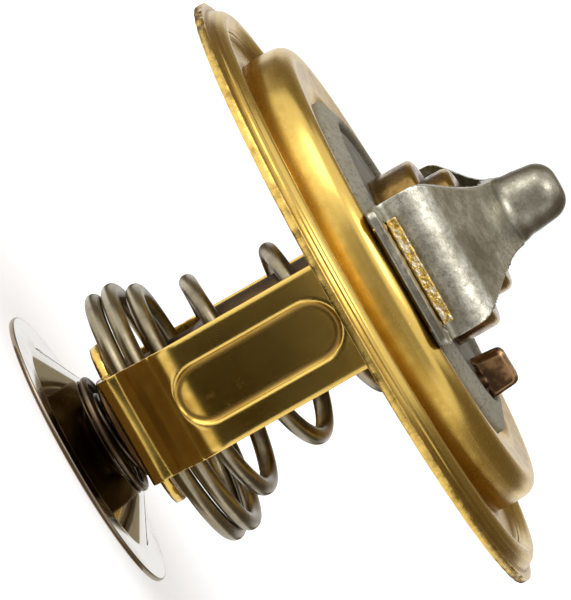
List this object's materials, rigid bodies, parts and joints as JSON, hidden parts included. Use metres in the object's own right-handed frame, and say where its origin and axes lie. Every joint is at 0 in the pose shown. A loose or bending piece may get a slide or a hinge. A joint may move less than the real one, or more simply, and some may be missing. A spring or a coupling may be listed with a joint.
{
  "type": "engine coolant valve",
  "caption": "Round flanged wax-element coolant valve with a bridge, a sprung main disc and a lower bypass disc.",
  "frame": {"origin": "on the axis, in the plane of the underside of the flange's rim, which seats in the housing", "axes": "+Z along the axis towards the bridge and the piston cap, +Y towards one of the bracket's legs, +X towards the vent pin"},
  "size_m": [0.067, 0.067, 0.0555],
  "materials": {
    "flange_brass": "pressed brass sheet, bright satin",
    "bracket_brass": "folded brass strip, bright",
    "bridge_steel": "pressed steel, mottled satin",
    "valve_steel": "dull, rough",
    "seal_rubber": "matte grey",
    "head_brass": "turned brass, tarnished golden brown",
    "cup_brass": "drawn brass, dark brown",
    "sleeve_rubber": "moulded, black",
    "wax": "wax loaded with copper powder",
    "piston_steel": "ground",
    "spring_steel": "drawn wire, warm grey",
    "stem_steel": "turned",
    "small_spring_steel": "drawn wire",
    "bypass_stainless": "pressed stainless sheet, mirror bright",
    "clip_steel": "spring steel",
    "vent_copper": "copper, dulled"
  },
  "bodies": {
    "housing_side": {"flange": "flange_brass", "bracket": "bracket_brass", "bridge": "bridge_steel", "piston": "piston_steel", "main_spring": "spring_steel"},
    "element": {"valve_plate": "valve_steel", "valve_seal": "seal_rubber", "element_head": "head_brass", "wax_cup": "cup_brass", "rubber_sleeve": "sleeve_rubber", "wax_charge": "wax", "bypass_stem": "stem_steel", "retaining_clip": "clip_steel", "bypass_spring": "small_spring_steel"},
    "bypass_disc": {"bypass_plate": "bypass_stainless"},
    "vent": {"vent_pin": "vent_copper"}
  },
  "joints": [
    {"name": "element_travel", "type": "slide", "parent": "housing_side", "child": "element", "axis": [0, 0, -1], "range_m": [0, 0.008], "stiffness_N_per_m": 2500, "springref_m": -0.01, "deforming": ["main_spring"]},
    {"name": "bypass_travel", "type": "slide", "parent": "element", "child": "bypass_disc", "axis": [0, 0, 1], "range_m": [0, 0.0012], "stiffness_N_per_m": 1500, "springref_m": -0.002, "deforming": ["bypass_spring"]},
    {"name": "vent_travel", "type": "slide", "parent": "element", "child": "vent", "axis": [0, 0, 1], "range_m": [0, 0.0015]}
  ]
}
